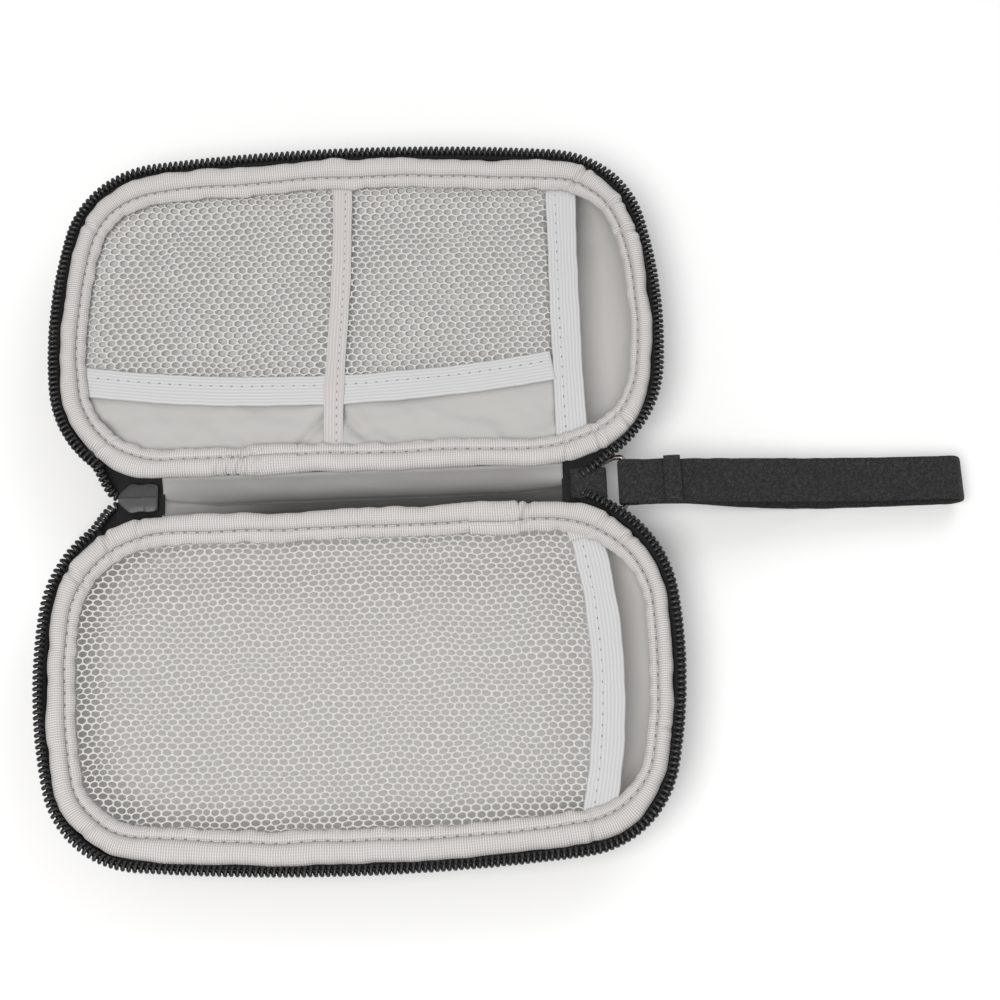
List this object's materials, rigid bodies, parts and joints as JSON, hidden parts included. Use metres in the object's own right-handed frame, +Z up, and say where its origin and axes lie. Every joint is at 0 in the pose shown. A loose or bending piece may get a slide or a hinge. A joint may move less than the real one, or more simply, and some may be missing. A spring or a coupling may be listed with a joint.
{
  "type": "cable organizer pouch",
  "caption": "Zipped hard-sided organizer pouch lying open like a book, with padded trays, mesh and slip pockets, bound rims and a wrist strap on a ring.",
  "frame": {"origin": "middle of the front half's base, on the surface it rests on", "axes": "+X along the spine towards the wrist strap, +Y from the front half to the back half, +Z up out of the open trays"},
  "size_m": [0.2809, 0.2284, 0.0242],
  "materials": {
    "shell_fabric": "charcoal heather polyester twill",
    "foam": "moulded EVA foam",
    "lining": "light warm grey woven polyester with a soft sheen",
    "binding": "light warm grey ribbed grosgrain",
    "zip_tape": "black woven polyester tape",
    "zip_coil": "black nylon coil",
    "mesh": "light grey hexagonal polyester mesh",
    "elastic": "folded light grey elastic",
    "divider": "ribbed light grey elastic",
    "slider": "satin black painted zinc",
    "ring": "black nickel plated wire",
    "webbing": "charcoal heather twill webbing"
  },
  "bodies": {
    "front_half": {"front_outer_shell": "shell_fabric", "front_foam_pad": "foam", "front_lining": "lining", "front_binding": "binding", "front_zip_tape": "zip_tape", "front_zip_coil": "zip_coil", "front_mesh_pocket": "mesh", "front_mesh_elastic": "elastic"},
    "back_half": {"back_outer_shell": "shell_fabric", "back_foam_pad": "foam", "back_lining": "lining", "back_binding": "binding", "back_zip_tape": "zip_tape", "back_zip_coil": "zip_coil", "back_slip_pocket": "lining", "back_slip_elastic": "elastic", "back_mesh_pocket": "mesh", "back_mesh_elastic": "elastic", "back_divider_band": "divider"},
    "spine": {"spine_lining_strip": "lining", "spine_outer_strip": "shell_fabric", "zip_end_left": "zip_tape", "zip_end_right": "zip_tape", "ring_tab": "webbing"},
    "zip_slider_body": {"zip_slider": "slider"},
    "zip_pull": {"zip_puller": "slider"},
    "wire_ring": {"d_ring": "ring"},
    "strap": {"wrist_strap": "webbing"}
  },
  "joints": [
    {"name": "fold_front", "type": "hinge", "parent": "front_half", "child": "spine", "pos_m": [0, 0.0474, 0.02], "axis": [1, 0, 0], "range_deg": [0, 90]},
    {"name": "fold_back", "type": "hinge", "parent": "spine", "child": "back_half", "pos_m": [0, 0.0564, 0.02], "axis": [1, 0, 0], "range_deg": [0, 90]},
    {"name": "zip_start", "type": "slide", "parent": "spine", "child": "zip_slider_body", "axis": [-1, 0, 0], "range_m": [0, 0.008]},
    {"name": "pull_swing", "type": "hinge", "parent": "zip_slider_body", "child": "zip_pull", "pos_m": [-0.0663, 0.0519, 0.01515], "axis": [0, 1, 0], "range_deg": [-5, 90]},
    {"name": "ring_swing", "type": "hinge", "parent": "spine", "child": "wire_ring", "pos_m": [0.073, 0.0519, 0.01865], "axis": [0, 1, 0], "range_deg": [-15, 50]},
    {"name": "strap_swing", "type": "hinge", "parent": "wire_ring", "child": "strap", "pos_m": [0.0806, 0.0519, 0.01865], "axis": [0, 1, 0], "range_deg": [-30, 40]}
  ],
  "couplings": [
    {"joint": "fold_back", "follows": "fold_front", "ratio": 1}
  ]
}
